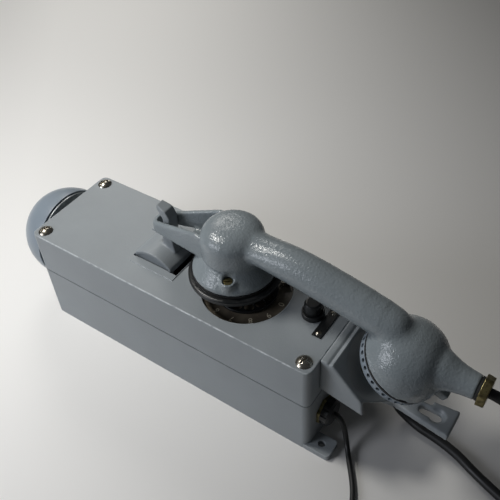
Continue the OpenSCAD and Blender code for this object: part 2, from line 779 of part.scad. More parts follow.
// Moves to the cradle's slope: X runs down the slope and Z out of it
module on_slope() {
    translate([cradle_top[0], 0, cradle_top[1]]) rotate([0, cradle_tilt, 0]) children();
}

module cradle_bracket() {
    slope = [cos(cradle_tilt), -sin(cradle_tilt)];
    inward = -[sin(cradle_tilt), cos(cradle_tilt)];
    corner = cradle_top + (slope_square + 2) * slope;
    low_z = seam_z + 0.6;
    back_top = top_z + 0.5;
    side = [[end_x, seam_z + 8.5], [end_x, back_top], [end_x + cradle_back_t, back_top],
            [end_x + cradle_back_t + 1, back_top - 2], cradle_top + cradle_t * 0.5 * inward, cradle_top, corner,
            [corner[0] + 2, low_z]];
    color("#7f8d9a") difference() {
        union() {
            for (sy = [-1, 1]) upright(side, sy * (cradle_half - cradle_wall / 2), cradle_wall);
            translate([end_x, -cradle_half, seam_z + 8.5])
                cube([cradle_back_t, 2 * cradle_half, back_top - seam_z - 8.5]);
            upright([[end_x + 1, back_top - 8], [end_x + 1, back_top - 2], [end_x + cradle_back_t + 1, back_top - 2],
                     cradle_top + cradle_t * 0.5 * inward, cradle_top + cradle_t * (inward + slope)],
                    0, 2 * cradle_half);
            on_slope() translate([0, 0, -cradle_t]) linear_extrude(cradle_t) polygon([
                [0, -cradle_half], [slope_square, -cradle_half], [slope_l, -slope_end_half],
                [slope_l, slope_end_half], [slope_square, cradle_half], [0, cradle_half]]);
            on_slope() translate([dish_along, 0, -dish_depth - 3])
                cylinder(r1 = dish_floor_r + 3, r2 = dish_r, h = dish_depth + 3 - cradle_t / 2);
            translate([0, 0, arm_top_z - arm_t]) linear_extrude(arm_t) polygon([
                [arm_x[0], -arm_half[0]], [arm_x[1], -arm_half[1]], [arm_x[2], -arm_half[2]],
                [arm_x[2], arm_half[2]], [slot_x[0] + 4, arm_half[2] - 2], [slot_x[0] + 4, arm_half[1]],
                [arm_x[1], arm_half[1]], [arm_x[0], arm_half[0]]]);
        }
        on_slope() translate([dish_along, 0, -dish_depth])
            cylinder(r1 = dish_floor_r, r2 = dish_r, h = dish_depth);
        on_slope() translate([dish_along, 0, -dish_depth - 4]) cylinder(r = dish_drain_r, h = 5);
        translate([slot_x[0], 0, arm_top_z - arm_t - 1]) cylinder(r = arm_slot_r, h = arm_t + 2);
        translate([slot_x[1], 0, arm_top_z - arm_t - 1]) cylinder(r = arm_slot_r, h = arm_t + 2);
        translate([slot_x[0], -arm_slot_r, arm_top_z - arm_t - 1])
            cube([slot_x[1] - slot_x[0], 2 * arm_slot_r, arm_t + 2]);
        translate([slot_x[1], 0, arm_top_z - arm_t / 3]) cylinder(r = arm_slot_r + 2.5, h = arm_t);
        for (p = cradle_screws_at) bar_x(end_x - 1, end_x + cradle_back_t + 1, cradle_screw_r, p[0], p[1]);
    }
}

module cradle_screws() {
    color("#9a9a98") for (p = cradle_screws_at) {
        bar_x(end_x - wall - 3, end_x - wall, 4.5, p[0], p[1]);
        bar_x(end_x - wall, end_x + cradle_back_t, cradle_screw_r, p[0], p[1]);
    }
}

// Moves to the middle of the mouthpiece's dome: Z runs out along its back
module at_mouth() {
    translate([mouth_x, 0, mouth_z]) rotate([0, mouth_tilt, 0]) children();
}

// Moves to the end of the neck: Z runs out along the cord
module at_neck_end() {
    translate([mouth_x, 0, mouth_z + neck_lift]) rotate([0, 90 + neck_drop, 0]) translate([0, 0, neck_l]) children();
}

// Plan of a round nose of radius r that widens towards the ear, l long on each side
module loop_fill(r, l) {
    tip = r * [-sin(arm_spread), cos(arm_spread)];
    far = tip + l * [cos(arm_spread), sin(arm_spread)];
    translate([nose_x, 0]) {
        circle(r = r);
        polygon([tip, far, [far[0], -far[1]], [tip[0], -tip[1]]]);
    }
}

// Plan of the loop: its wall runs round the nose and along both sides, and it is open at the ear
module loop_plan() {
    difference() {
        loop_fill(nose_in_r + nose_wall, loop_arm_l);
        loop_fill(nose_in_r, loop_arm_l + nose_wall);
    }
}

module handset_body() {
    nose_out_x = nose_x - nose_in_r - nose_wall - 1;
    color("#7c8893") difference() {
        union() {
            translate([ear_x, 0, ear_z]) {
                rotate_extrude() {
                    polygon([[0, 0], [ear_flange_r, 0], [ear_flange_r, ear_lip], [ear_cup_r + 2, ear_cone_h],
                             [ear_cup_r, ear_cone_h + 4], [ear_cup_r, ear_cup_h], [0, ear_cup_h]]);
                    translate([0, ear_cup_h]) intersection() {
                        circle(r = ear_cup_r);
                        square(ear_cup_r);
                    }
                }
                for (a = ear_screw_angles) rotate([0, 0, a]) translate([ear_screw_ring, 0, 0])
                    cylinder(r = ear_boss_r, h = ear_screw_seat + 7);
            }
            translate([handle_centre[0], 0, handle_centre[1]]) rotate([90, 0, 0])
                rotate([0, 0, handle_end_angle]) rotate_extrude(angle = handle_ear_angle - handle_end_angle)
                    translate([handle_arc_r, 0]) circle(r = handle_r);
            translate([handle_centre[0] + handle_arc_r * cos(handle_end_angle), 0,
                       handle_centre[1] + handle_arc_r * sin(handle_end_angle)]) sphere(r = handle_r - 0.1);
            intersection() {
                translate([0, 0, ear_z]) linear_extrude(ear_lift + handle_ear[1] - ear_z) loop_plan();
                upright([[nose_out_x, loop_low[0]], [nose_out_x, loop_top[0]], [ear_x - ear_cup_r, loop_top[1]],
                         [ear_x, loop_top[1]], [ear_x, loop_low[1]]], 0, housing_w);
            }
            translate([0, 0, web_z[0]]) linear_extrude(web_z[1] - web_z[0]) polygon([for (x = web_x, s = [-1, 1])
                [x, s * (x == web_x[0] ? 1 : -1) * (nose_in_r + 1 + (x - nose_x) * tan(arm_spread))]]);
            at_mouth() {
                rotate_extrude() {
                    intersection() {
                        circle(r = mouth_r);
                        translate([0, -mouth_rim]) square(2 * mouth_r);
                    }
                    translate([0, -mouth_rim]) square([mouth_r + 1, 3]);
                }
                for (a = mouth_screw_angles) rotate([0, 0, a]) translate([mouth_boss_ring, 0, -mouth_rim])
                    cylinder(r = mouth_boss_r, h = 12);
                translate([mouth_r, 0, -mouth_rim]) cylinder(r = mouth_lug_r, h = mouth_lug_h);
            }
            at_neck_end() translate([0, 0, -neck_flare_l - neck_root_l]) rotate_extrude() difference() {
                square([neck_root_r, neck_root_l + neck_flare_l]);
                translate([neck_r + neck_flare_r, neck_root_l + neck_flare_l]) circle(r = neck_flare_r);
            }
        }
        translate([ear_x, 0, ear_z - 1]) cylinder(r = capsule_r + 0.5, h = 12);
        translate([ear_x, 0, ear_z]) for (a = ear_screw_angles) rotate([0, 0, a]) translate([ear_screw_ring, 0, 0]) {
            translate([0, 0, -1]) cylinder(r = ear_screw_r + 0.2, h = ear_screw_seat + 2);
            translate([0, 0, ear_screw_seat]) cylinder(r = ear_boss_r - 2.3, h = ear_lift);
        }
        at_mouth() {
            translate([0, 0, -mouth_rim - 1]) cylinder(r = mouth_capsule_r, h = 10);
            for (a = mouth_screw_angles) rotate([0, 0, a]) translate([mouth_boss_ring, 0, -mouth_rim - 1])
                cylinder(r = mouth_screw_r, h = 10);
        }
    }
}

module ear_gasket() {
    color("#191b1d") translate([ear_x, 0, ear_cap_z]) difference() {
        cylinder(r = ear_flange_r, h = ear_gasket_t);
        translate([0, 0, -1]) cylinder(r = capsule_r + 0.5, h = ear_gasket_t + 2);
        for (a = ear_screw_angles) rotate([0, 0, a]) translate([ear_screw_ring, 0, -1])
            cylinder(r = ear_screw_r + 0.2, h = ear_gasket_t + 2);
    }
}

module ear_cap() {
    color("#24272b") translate([ear_x, 0, ear_cap_z - ear_cap_h]) difference() {
        rotate_extrude() polygon([[0, 4], [12, 3], [26, 0], [31, 0.5], [ear_cap_r - 1, 6.5], [ear_cap_r, 8],
                                  [ear_cap_r, ear_cap_h - 1.5], [ear_cap_r - 2, ear_cap_h], [0, ear_cap_h]]);
        translate([0, 0, ear_cap_h - 5]) cylinder(r = capsule_r + 0.5, h = 6);
        for (a = [0 : 60 : 300]) rotate([0, 0, a]) translate([8, 0, -1]) cylinder(r = 1.6, h = ear_cap_h);
        translate([0, 0, -1]) cylinder(r = 1.6, h = ear_cap_h);
        for (a = ear_screw_angles) rotate([0, 0, a]) translate([ear_screw_ring, 0, ear_cap_h - 7])
            cylinder(r = ear_screw_r, h = 8);
    }
}

module ear_screws() {
    color("#b29a57") translate([ear_x, 0, ear_z + ear_screw_seat])
        for (a = ear_screw_angles) rotate([0, 0, a]) translate([ear_screw_ring, 0, 0]) rotate([0, 0, 40 - a])
            cheese_screw(ear_boss_r - 2.7, 2.4, ear_screw_r, ear_screw_seat + ear_gasket_t + 6, 1);
}

module receiver_capsule() {
    low_z = ear_cap_z - 5;
    high_z = ear_z + ear_screw_seat - seat_gap;
    color("#55585a") translate([ear_x, 0, 0]) {
        translate([0, 0, low_z]) cylinder(r = capsule_r, h = high_z - low_z);
        translate([0, 0, high_z]) cylinder(r = capsule_r - 8, h = 4);
    }
}

module mouth_gasket() {
    color("#191b1d") at_mouth() translate([0, 0, -mouth_rim - mouth_gasket_t]) difference() {
        cylinder(r = mouth_r + 0.6, h = mouth_gasket_t);
        translate([0, 0, -1]) cylinder(r = mouth_capsule_r, h = mouth_gasket_t + 2);
        for (a = mouth_screw_angles) rotate([0, 0, a]) translate([mouth_boss_ring, 0, -1])
            cylinder(r = mouth_screw_r + 0.2, h = mouth_gasket_t + 2);
    }
}

module mouth_cap() {
    rim_r = mouth_r + 0.6;
    color("#78848f") at_mouth() translate([0, 0, -mouth_rim - mouth_gasket_t]) difference() {
        union() {
            rotate_extrude() polygon([[0, 0], [rim_r, 0], [rim_r, -4.5], [rim_r - 0.8, -mouth_cap_h + 5],
                                      [rim_r - 5, -mouth_cap_h + 2], [0, -mouth_cap_h]]);
            for (a = mouth_screw_angles) rotate([0, 0, a]) translate([mouth_boss_ring, 0, -6])
                cylinder(r = mouth_boss_r, h = 6);
        }
        translate([0, 0, -mouth_cap_h + 5]) cylinder(r = mouth_capsule_r, h = mouth_cap_h);
        for (i = [0 : mouth_holes - 1]) rotate([0, 0, (i + 0.5) * 360 / mouth_holes]) translate([mouth_capsule_r - 1, 0, -3])
            rotate([0, 90, 0]) cylinder(r = 1.5, h = 12);
        for (a = mouth_screw_angles) rotate([0, 0, a]) translate([mouth_boss_ring, 0, -mouth_cap_h]) {
            cylinder(r = mouth_screw_r + 0.2, h = mouth_cap_h + 1);
            cylinder(r = mouth_head_r + 0.3, h = mouth_cap_h - 6);
        }
    }
}

module mouth_screws() {
    color("#b29a57") at_mouth() translate([0, 0, -mouth_rim - mouth_gasket_t - 6]) rotate([180, 0, 0])
        for (a = mouth_screw_angles) rotate([0, 0, -a]) translate([mouth_boss_ring, 0, 0])
            cheese_screw(mouth_head_r, 2, mouth_screw_r, mouth_gasket_t + 13, 0.9);
}

module transmitter_capsule() {
    color("#55585a") at_mouth() translate([0, 0, -mouth_rim - mouth_gasket_t - mouth_cap_h + 5]) {
        cylinder(r = mouth_capsule_r - 0.3, h = mouth_cap_h + mouth_gasket_t);
        translate([0, 0, mouth_cap_h + mouth_gasket_t]) cylinder(r = mouth_capsule_r - 8, h = 3.5);
    }
}

module neck_seal() {
    color("#191b1d") at_neck_end() difference() {
        cylinder(r = neck_r - 0.4, h = seal_t);
        translate([0, 0, -1]) cylinder(r = cord_d / 2 + seat_gap, h = seal_t + 2);
    }
}

module neck_nut() {
    color("#a8945a") at_neck_end() translate([0, 0, seal_t]) difference() {
        intersection() {
            cylinder(r = nut_af / sqrt(3), h = nut_t, $fn = 6);
            cylinder(r1 = nut_af / 2 + 1.2, r2 = nut_af / 2 + 0.6, h = nut_t);
        }
        translate([0, 0, -1]) cylinder(r = cord_d / 2 + seat_gap, h = nut_t + 2);
    }
}

// Threaded tube of a gland through the end wall, with its lock nut inside
module gland_thread(y) {
    bar_x(end_x - wall - gland_lock_t - 2, end_x + 1, gland_bore_r, y, gland_z);
    bar_x(end_x - wall - gland_lock_t, end_x - wall, gland_bore_r + 1.2, y, gland_z);
}

module line_gland() {
    color("#a8945a") difference() {
        union() {
            gland_thread(gland_y[0]);
            hex_x(end_x, end_x + gland_hex_t, gland_af, gland_y[0], gland_z);
        }
        bar_x(end_x - 2 * wall - 5, end_x + gland_hex_t + 1, line_d / 2 + seat_gap, gland_y[0], gland_z);
    }
}

module line_gland_cap() {
    x0 = end_x + gland_hex_t;
    color("#1f2225") difference() {
        union() {
            bar_x(x0, x0 + gland_cap_l - 2, gland_cap_r, gland_y[0], gland_z);
            translate([x0 + gland_cap_l - 2, gland_y[0], gland_z]) rotate([0, 90, 0])
                cylinder(r1 = gland_cap_r, r2 = gland_cap_r - 2, h = 2);
        }
        bar_x(x0 - 1, x0 + gland_cap_l + 1, line_d / 2 + seat_gap, gland_y[0], gland_z);
        for (a = [0 : 30 : 330]) translate([x0 - 1, gland_y[0], gland_z]) rotate([a, 0, 0])
            translate([0, gland_cap_r + 0.4, 0]) rotate([0, 90, 0]) cylinder(r = 1.2, h = gland_cap_l - 1);
    }
}

module spare_plug() {
    color("#a8945a") {
        gland_thread(gland_y[1]);
        hex_x(end_x, end_x + gland_hex_t, gland_af, gland_y[1], gland_z);
        bar_x(end_x + gland_hex_t, end_x + gland_hex_t + 2, gland_bore_r + 1, gland_y[1], gland_z);
    }
}

module cord_gland() {
    color("#b3a778") difference() {
        union() {
            gland_thread(gland_y[2]);
            hex_x(end_x, end_x + cord_gland_l[0], gland_af + 2, gland_y[2], gland_z);
            translate([end_x + cord_gland_l[0], gland_y[2], gland_z]) rotate([0, 90, 0])
                cylinder(r1 = gland_bore_r + 3, r2 = cord_d / 2 + 2.5, h = cord_gland_l[1] - cord_gland_l[0]);
        }
        bar_x(end_x - 2 * wall - 5, end_x + cord_gland_l[1] + 1, cord_d / 2 + seat_gap, gland_y[2], gland_z);
    }
}

module earth_stud() {
    color("#a8945a") {
        bar_x(end_x - wall + 1, end_x + 9, earth_r, earth_y, earth_z);
        bar_x(end_x, end_x + 1, 5.5, earth_y, earth_z);
        hex_x(end_x + 1, end_x + 5, 9, earth_y, earth_z);
    }
}

module chassis_plate() {
    color("#8c9294") difference() {
        translate([chassis_x[0], -chassis_half, chassis_z])
            cube([chassis_x[1] - chassis_x[0], 2 * chassis_half, chassis_t]);
        for (p = chassis_places) translate([p[0], p[1], chassis_z - 1]) cylinder(r = chassis_screw_r, h = chassis_t + 2);
    }
}

module terminal_block() {
    l = 60;
    color("#4a2f22") translate([chassis_x[1] - 34, -l / 2, chassis_z + chassis_t]) difference() {
        cube([18, l, 14]);
        for (i = [0 : 5]) translate([-1, 4 + i * 9, 8]) cube([20, 7, 7]);
    }
}

module induction_coil() {
    x0 = chassis_x[0] + 22;
    z0 = chassis_z + chassis_t;
    color("#8c6b3e") {
        for (x = [x0, x0 + 42]) translate([x, -15, z0]) cube([3, 30, 30]);
        bar_x(x0 + 3, x0 + 42, 12, 0, z0 + 15);
    }
}

module capacitor() {
    x0 = chassis_x[0] + 80;
    color("#9aa0a3") translate([x0, -20, chassis_z + chassis_t]) cube([30, 40, 24]);
}

// Point at t turns of a coil that spirals in and out again, layer on layer
function coil_radius(t, turns, r, step) = let (k = floor(t / turns), u = t - k * turns)
    k % 2 == 0 ? r - step * u : r - step * (turns - u);
function climb(s) = s <= 0 ? 0 : s >= 1 ? 1 : s * s * (3 - 2 * s);
function coil_height(t, turns, layers, step) = layers < 2 ? 0 :
    step * climb((t - (layers - 1) * turns + 0.25) / 0.5) + coil_height(t, turns, layers - 1, step);
function coil_points(at, z, r, start, turns, layers, step, d) = let (
        count = ceil(turns * layers * coil_rings),
        round = [for (i = [0 : count]) let (t = i / count * turns * layers, a = start + 360 * t)
            concat(at + coil_radius(min(t, turns * layers - 0.0001), turns, r, step) * [cos(a), sin(a)],
                   z + coil_height(t, turns, layers, step))],
        a_end = start + 360 * turns * layers)
    concat([round[0] - d * [-sin(start), cos(start), 0]], round, [round[count] + d * [-sin(a_end), cos(a_end), 0]]);

// Least distance between stretches of a coil that are half a turn or more apart, less the tube itself
function self_gap(p, d) = min([for (i = [0 : len(p) - 1], j = [i + coil_rings / 2 : 1 : len(p) - 1])
    norm(p[i] - p[j])]) - d;

// Directions along a route and the sideways directions carried along it
function along(p, i) = let (v = p[min(i + 1, len(p) - 1)] - p[max(i - 1, 0)]) v / norm(v);
function square_to(v, t) = let (w = v - (v * t) * t) w / norm(w);
function sideways_list(p, i, last) = i >= len(p) ? [] :
    let (v = square_to(last, along(p, i))) concat([v], sideways_list(p, i + 1, v));

// Closed round tube along a route
module tube(p, d, sides) {
    side = sideways_list(p, 0, [0, 0.6, 0.8]);
    n = len(p);
    rings = [for (i = [0 : n - 1], k = [0 : sides - 1])
        let (t = along(p, i), a = 360 * k / sides)
            p[i] + d / 2 * (cos(a) * side[i] + sin(a) * cross(t, side[i]))];
    walls = [for (i = [0 : n - 2], k = [0 : sides - 1]) let (a = i * sides + k, b = i * sides + (k + 1) % sides)
        each [[a, a + sides, b], [b, a + sides, b + sides]]];
    caps = [for (k = [1 : sides - 2]) each [[0, k, k + 1], (n - 1) * sides * [1, 1, 1] + [0, k + 1, k]]];
    polyhedron(points = rings, faces = concat(walls, caps), convexity = 10);
}

// Strap round a coil's bundle at angle a of the coil
module coil_tie(at, a, r_in, r_out, z_top, d) {
    reach = d / 2 + 2 * tie_gap;
    l = r_out - r_in + 2 * reach;
    h = z_top + d / 2 + tie_gap - tie_t;
    translate([at[0], at[1], 0]) rotate([0, 0, a]) translate([r_in - reach - tie_t, -tie_w / 2, 0]) difference() {
        cube([l + 2 * tie_t, tie_w, h + 2 * tie_t]);
        translate([tie_t, -1, tie_t]) cube([l, tie_w + 2, h]);
    }
}

module handset_cord_lead() {
    color("#141517") tube(cord_lead_route, cord_d, tube_sides);
}

module handset_cord_coil() {
    points = coil_points(cord_coil_at, cord_coil_z, cord_coil_r, cord_coil_start, cord_layer_turns, cord_layers,
                         cord_step, cord_d);
    echo(handset_cord_least_gap = self_gap(points, cord_d));
    color("#141517") tube(points, cord_d, coil_sides);
}

module handset_cord_return() {
    color("#141517") tube(cord_return_route, cord_d, tube_sides);
}

module handset_cord_tie() {
    color("#232427") coil_tie(cord_coil_at, 0, cord_coil_r - cord_step * cord_layer_turns, cord_coil_r,
                              cord_coil_z + cord_step, cord_d);
}

module line_cord_lead() {
    color("#141517") tube(line_lead_route, line_d, tube_sides);
}

module line_cord_coil() {
    points = coil_points(line_coil_at, line_coil_z, line_coil_r, line_coil_start, line_layer_turns, line_layers,
                         line_step, line_d);
    echo(line_cord_least_gap = self_gap(points, line_d));
    color("#141517") tube(points, line_d, coil_sides);
}

module line_cord_tail() {
    color("#141517") tube(line_tail_route, line_d, tube_sides);
}

module line_cord_tie() {
    color("#232427") coil_tie(line_coil_at, 0, line_coil_r - line_step * line_layer_turns, line_coil_r,
                              line_coil_z + line_step * (line_layers - 1), line_d);
}

module line_plug() {
    color("#26282b") translate(plug_at) rotate([0, 90, 0]) difference() {
        union() {
            cylinder(r1 = plug_r - 4, r2 = plug_r, h = plug_l * 0.4);
            translate([0, 0, plug_l * 0.4]) cylinder(r = plug_r, h = plug_l * 0.6);
            for (sy = [-1, 1]) translate([0, sy * 5, plug_l - 2]) cylinder(r = plug_pin_r, h = plug_pin_l + 2);
        }
        translate([0, 0, -1]) cylinder(r = line_d / 2 + seat_gap, h = 8);
    }
}

rear_housing();
cover_gasket();
front_cover();
cover_screws();
gong();
gong_plate();
gong_standoffs();
gong_post();
bell_clapper();
clapper_pin();
ringer_frame();
ringer_coils();
dial_case();
number_ring();
finger_wheel();
dial_shaft();
dial_gear();
dial_cap();
finger_stop();
hook_rocker();
hook_pin();
hook_contacts();
push_button();
button_collar();
button_contacts();
label_plate();
label_screws();
cradle_bracket();
cradle_screws();
handset_body();
ear_gasket();
ear_cap();
ear_screws();
receiver_capsule();
mouth_gasket();
mouth_cap();
mouth_screws();
transmitter_capsule();
neck_seal();
neck_nut();
line_gland();
line_gland_cap();
spare_plug();
cord_gland();
earth_stud();
chassis_plate();
terminal_block();
induction_coil();
capacitor();
handset_cord_lead();
handset_cord_coil();
handset_cord_return();
handset_cord_tie();
line_cord_lead();
line_cord_coil();
line_cord_tail();
line_cord_tie();
line_plug();
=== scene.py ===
import json
from math import ceil, cos, exp, pi, radians, sin

import bmesh
import bpy
from mathutils import Matrix, Vector

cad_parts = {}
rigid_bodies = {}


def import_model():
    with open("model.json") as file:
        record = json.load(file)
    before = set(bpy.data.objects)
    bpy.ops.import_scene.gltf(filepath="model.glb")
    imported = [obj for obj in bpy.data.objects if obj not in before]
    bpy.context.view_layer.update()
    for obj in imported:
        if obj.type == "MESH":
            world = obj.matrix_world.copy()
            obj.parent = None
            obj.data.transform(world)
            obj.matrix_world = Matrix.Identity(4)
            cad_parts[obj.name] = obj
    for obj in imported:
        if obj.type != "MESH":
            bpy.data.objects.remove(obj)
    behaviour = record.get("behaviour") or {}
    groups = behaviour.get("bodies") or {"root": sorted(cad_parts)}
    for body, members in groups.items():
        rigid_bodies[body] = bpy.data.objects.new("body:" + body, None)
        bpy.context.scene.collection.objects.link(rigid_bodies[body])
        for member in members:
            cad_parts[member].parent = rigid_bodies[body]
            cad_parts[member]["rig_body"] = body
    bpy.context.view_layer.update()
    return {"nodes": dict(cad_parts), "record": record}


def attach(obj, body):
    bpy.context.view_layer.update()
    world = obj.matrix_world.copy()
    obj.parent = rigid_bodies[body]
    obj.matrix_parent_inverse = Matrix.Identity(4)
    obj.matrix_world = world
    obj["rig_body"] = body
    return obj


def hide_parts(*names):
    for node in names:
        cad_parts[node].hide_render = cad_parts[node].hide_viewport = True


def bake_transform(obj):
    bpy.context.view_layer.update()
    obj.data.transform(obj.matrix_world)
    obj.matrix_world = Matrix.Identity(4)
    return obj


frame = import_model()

scene = bpy.context.scene
scene.view_settings.view_transform = "Standard"
nodes = frame["nodes"]
slotOf = {part["node"]: part["material_slot"] for part in frame["record"]["subparts"]}
mm = 0.001  # the frame is in metres, and sizes here are written in millimetres


# Camera, from where the photograph was taken
view = {
    "place": (0.29882, -0.31022, 0.53285),  # metres
    "turn": (45.6229, 2.6857, 34.2934),  # degrees about X, Y and Z
    "focal": 686.0,  # pixels
    "picture": 500,  # pixels
    "sensor": 36,
}
camera = bpy.data.objects.new("photo_camera", bpy.data.cameras.new("photo_camera"))
scene.collection.objects.link(camera)
camera.location = view["place"]
camera.rotation_euler = [radians(angle) for angle in view["turn"]]
camera.data.sensor_width = view["sensor"]
camera.data.lens = view["sensor"] * view["focal"] / view["picture"]
scene.camera = camera
print("camera placed")


# Colours and shader helpers
inColour = {"data_type": "RGBA"}  # a Mix node of colours has inputs 6 and 7 and output 2
noiseSpan = {1: 0.3, 2: 0.7}  # most of a noise texture's values lie between these


def toLinear(code):
    parts = [int(code[i:i + 2], 16) / 255 for i in (1, 3, 5)]
    return [p / 12.92 if p <= 0.04045 else ((p + 0.055) / 1.055) ** 2.4 for p in parts] + [1.0]


def perMm(size):
    return 1 / (size * mm)  # texture scale whose features are about this many millimetres across


def addNode(tree, kind, settings=None, values=None, links=None, out=0):
    made = tree.nodes.new("ShaderNode" + kind)
    for key, value in (settings or {}).items():
        setattr(made, key, value)
    for key, value in (values or {}).items():
        made.inputs[key].default_value = value
    for key, source in (links or {}).items():
        tree.links.new(source, made.inputs[key])
    return made.outputs[out]


def startMaterial(name, **settings):
    made = bpy.data.materials.new(name)
    made.use_nodes = True
    tree = made.node_tree
    shader = tree.nodes["Principled BSDF"]
    for key, value in settings.items():
        shader.inputs[key].default_value = value
    place = addNode(tree, "TexCoord", out="Object")
    return made, tree, shader, {"Vector": place}


def dress(tree, shader, colour, gloss, skin):
    for socket, source in {"Base Color": colour, "Roughness": gloss, "Normal": skin}.items():
        tree.links.new(source, shader.inputs[socket])


# Stoved enamel over a sand casting: even grey-blue with faint clouds, an orange-peel skin that
# breaks the highlight up, a soft shine, and paler paint on eased edges: partly rubbed paint, partly
# a painted highlight where the edges catch the light.
# The grain is drawn coarser than the real sand's, so that it shows
def castEnamel(name, look):
    made, tree, shader, at = startMaterial(name)
    cloud = addNode(tree, "TexNoise", {}, {"Scale": perMm(look["cloud"]), "Detail": 4}, at)
    share = addNode(tree, "MapRange", {}, noiseSpan, {0: cloud})
    tones = {6: toLinear(look["dark"]), 7: toLinear(look["light"])}
    paint = addNode(tree, "Mix", inColour, tones, {0: share}, 2)
    edge_breakup = addNode(tree, "TexNoise", {}, {"Scale": perMm(look["edge_breakup"]), "Detail": 5}, at)
    patches = {1: 0.4, 2: 0.62}  # a narrow span, so that the pale edge of rubbed paint and painted highlight breaks up
    broken = addNode(tree, "MapRange", {}, patches, {0: edge_breakup})
    # Paler colour on the eased edges: partly rubbed paint, partly a painted highlight
    edge = addNode(tree, "Attribute", {"attribute_name": "edge_wear_and_highlight"}, out="Fac")
    rubbed_and_lit_edge = addNode(tree, "Math", {"operation": "MULTIPLY"}, {}, {0: edge, 1: broken})
    pale_edge_tone = {7: toLinear(look["rubbed_and_lit_edge"])}
    colour = addNode(tree, "Mix", inColour, pale_edge_tone, {0: rubbed_and_lit_edge, 6: paint}, 2)
    shine = {**noiseSpan, 3: look["gloss"][0], 4: look["gloss"][1]}
    gloss = addNode(tree, "MapRange", {}, shine, {0: cloud})
    waves = addNode(tree, "TexNoise", {}, {"Scale": perMm(look["peel"]), "Detail": 2}, at)
    deep = {"Strength": 1, "Distance": look["depth"] * mm}
    peel = addNode(tree, "Bump", {}, deep, {"Height": waves})
    sand = addNode(tree, "TexNoise", {}, {"Scale": perMm(look["grain"]), "Detail": 2}, at)
    shallow = {"Strength": 1, "Distance": look["grainDepth"] * mm}
    skin = addNode(tree, "Bump", {}, shallow, {"Height": sand, "Normal": peel})
    dress(tree, shader, colour, gloss, skin)
    return made


# Plated or bare metal: a clear metal reflection dulled by fine handling marks
def handledMetal(name, dark, light, rough, size, markDepth=0.01):
    made, tree, shader, at = startMaterial(name, Metallic=1.0)
    cloud = addNode(tree, "TexNoise", {}, {"Scale": perMm(size), "Detail": 5}, at)
    stains = {1: 0.35, 2: 0.65}
    share = addNode(tree, "MapRange", {}, stains, {0: cloud})
    tones = {6: toLinear(dark), 7: toLinear(light)}
    colour = addNode(tree, "Mix", inColour, tones, {0: share}, 2)
    shine = {**noiseSpan, 3: rough[1], 4: rough[0]}
    gloss = addNode(tree, "MapRange", {}, shine, {0: cloud})
    markSize = size / 6  # handling marks are finer than the stains
    marks = addNode(tree, "TexNoise", {}, {"Scale": perMm(markSize), "Detail": 3}, at)
    deep = {"Strength": 1, "Distance": markDepth * mm}
    skin = addNode(tree, "Bump", {}, deep, {"Height": marks})
    dress(tree, shader, colour, gloss, skin)
    return made


# Moulded rubber or plastic: dark, with a faint bloom and a fine grain that spreads the highlight.
# The grain is drawn coarser than a mould's own, so that it shows
def mouldedSkin(name, dark, light, rough, grain, depth, bloomSize=14):
    made, tree, shader, at = startMaterial(name)
    bloom = addNode(tree, "TexNoise", {}, {"Scale": perMm(bloomSize), "Detail": 4}, at)
    faint = {1: 0.35, 2: 0.7}
    share = addNode(tree, "MapRange", {}, faint, {0: bloom})
    tones = {6: toLinear(dark), 7: toLinear(light)}
    colour = addNode(tree, "Mix", inColour, tones, {0: share}, 2)
    shine = {**noiseSpan, 3: rough[0], 4: rough[1]}
    gloss = addNode(tree, "MapRange", {}, shine, {0: bloom})
    sand = addNode(tree, "TexNoise", {}, {"Scale": perMm(grain), "Detail": 2}, at)
    deep = {"Strength": 1, "Distance": depth * mm}
    skin = addNode(tree, "Bump", {}, deep, {"Height": sand})
    dress(tree, shader, colour, gloss, skin)
    return made


# Copper wire wound in close turns: fine ribs round the bobbin under varnish
def woundWire(name, dark, light, wire=0.8, ribDepth=0.15):
    made, tree, shader, at = startMaterial(name, Metallic=0.6, Roughness=0.35)
    values = {"Scale": perMm(wire) / pi, "Distortion": 0.6, "Detail": 1}
    turns = addNode(tree, "TexWave", {"bands_direction": "X"}, values, at, 1)
    tones = {6: toLinear(dark), 7: toLinear(light)}
    colour = addNode(tree, "Mix", inColour, tones, {0: turns}, 2)
    ribs = addNode(tree, "Bump", {}, {"Strength": 1, "Distance": ribDepth * mm}, {"Height": turns})
    tree.links.new(colour, shader.inputs["Base Color"])
    tree.links.new(ribs, shader.inputs["Normal"])
    return made


# Sizes of clouds, edge breakup, peel and grain are in millimetres, and so are the depths
housingLook = {
    "dark": "#80868a", "light": "#8a9094", "cloud": 60, "gloss": (0.4, 0.5),
    "rubbed_and_lit_edge": "#b4babd", "edge_breakup": 5, "peel": 2.4, "depth": 0.09, "grain": 1.0, "grainDepth": 0.06,
}
handsetLook = {
    "dark": "#767e82", "light": "#828a8e", "cloud": 45, "gloss": (0.18, 0.26),
    "rubbed_and_lit_edge": "#9aa1a5", "edge_breakup": 5, "peel": 2.2, "depth": 0.36, "grain": 1.1, "grainDepth": 0.08,
}
gongLook = {
    "dark": "#76808a", "light": "#7f8992", "cloud": 50, "gloss": (0.3, 0.38),
    "rubbed_and_lit_edge": "#9aa4ab", "edge_breakup": 5, "peel": 2.6, "depth": 0.03, "grain": 0.8, "grainDepth": 0.01,
}
housingEnamel = castEnamel("grey_enamel_on_casting", housingLook)  # satin, finely grained
handsetEnamel = castEnamel("grey_enamel_orange_peel", handsetLook)  # glossy and lumpy
gongEnamel = castEnamel("grey_enamel_on_spun_steel", gongLook)  # smooth, with a broad sheen
# Bright warm glints on the screws' heads
nickelPlate = handledMetal("nickel_plated_steel", "#8d877c", "#c9c3b7", (0.16, 0.34), 3)
# Cool grey sheet and rods with a dull shine
zincPlate = handledMetal("zinc_plated_steel", "#7f8488", "#b4b8ba", (0.3, 0.45), 5)
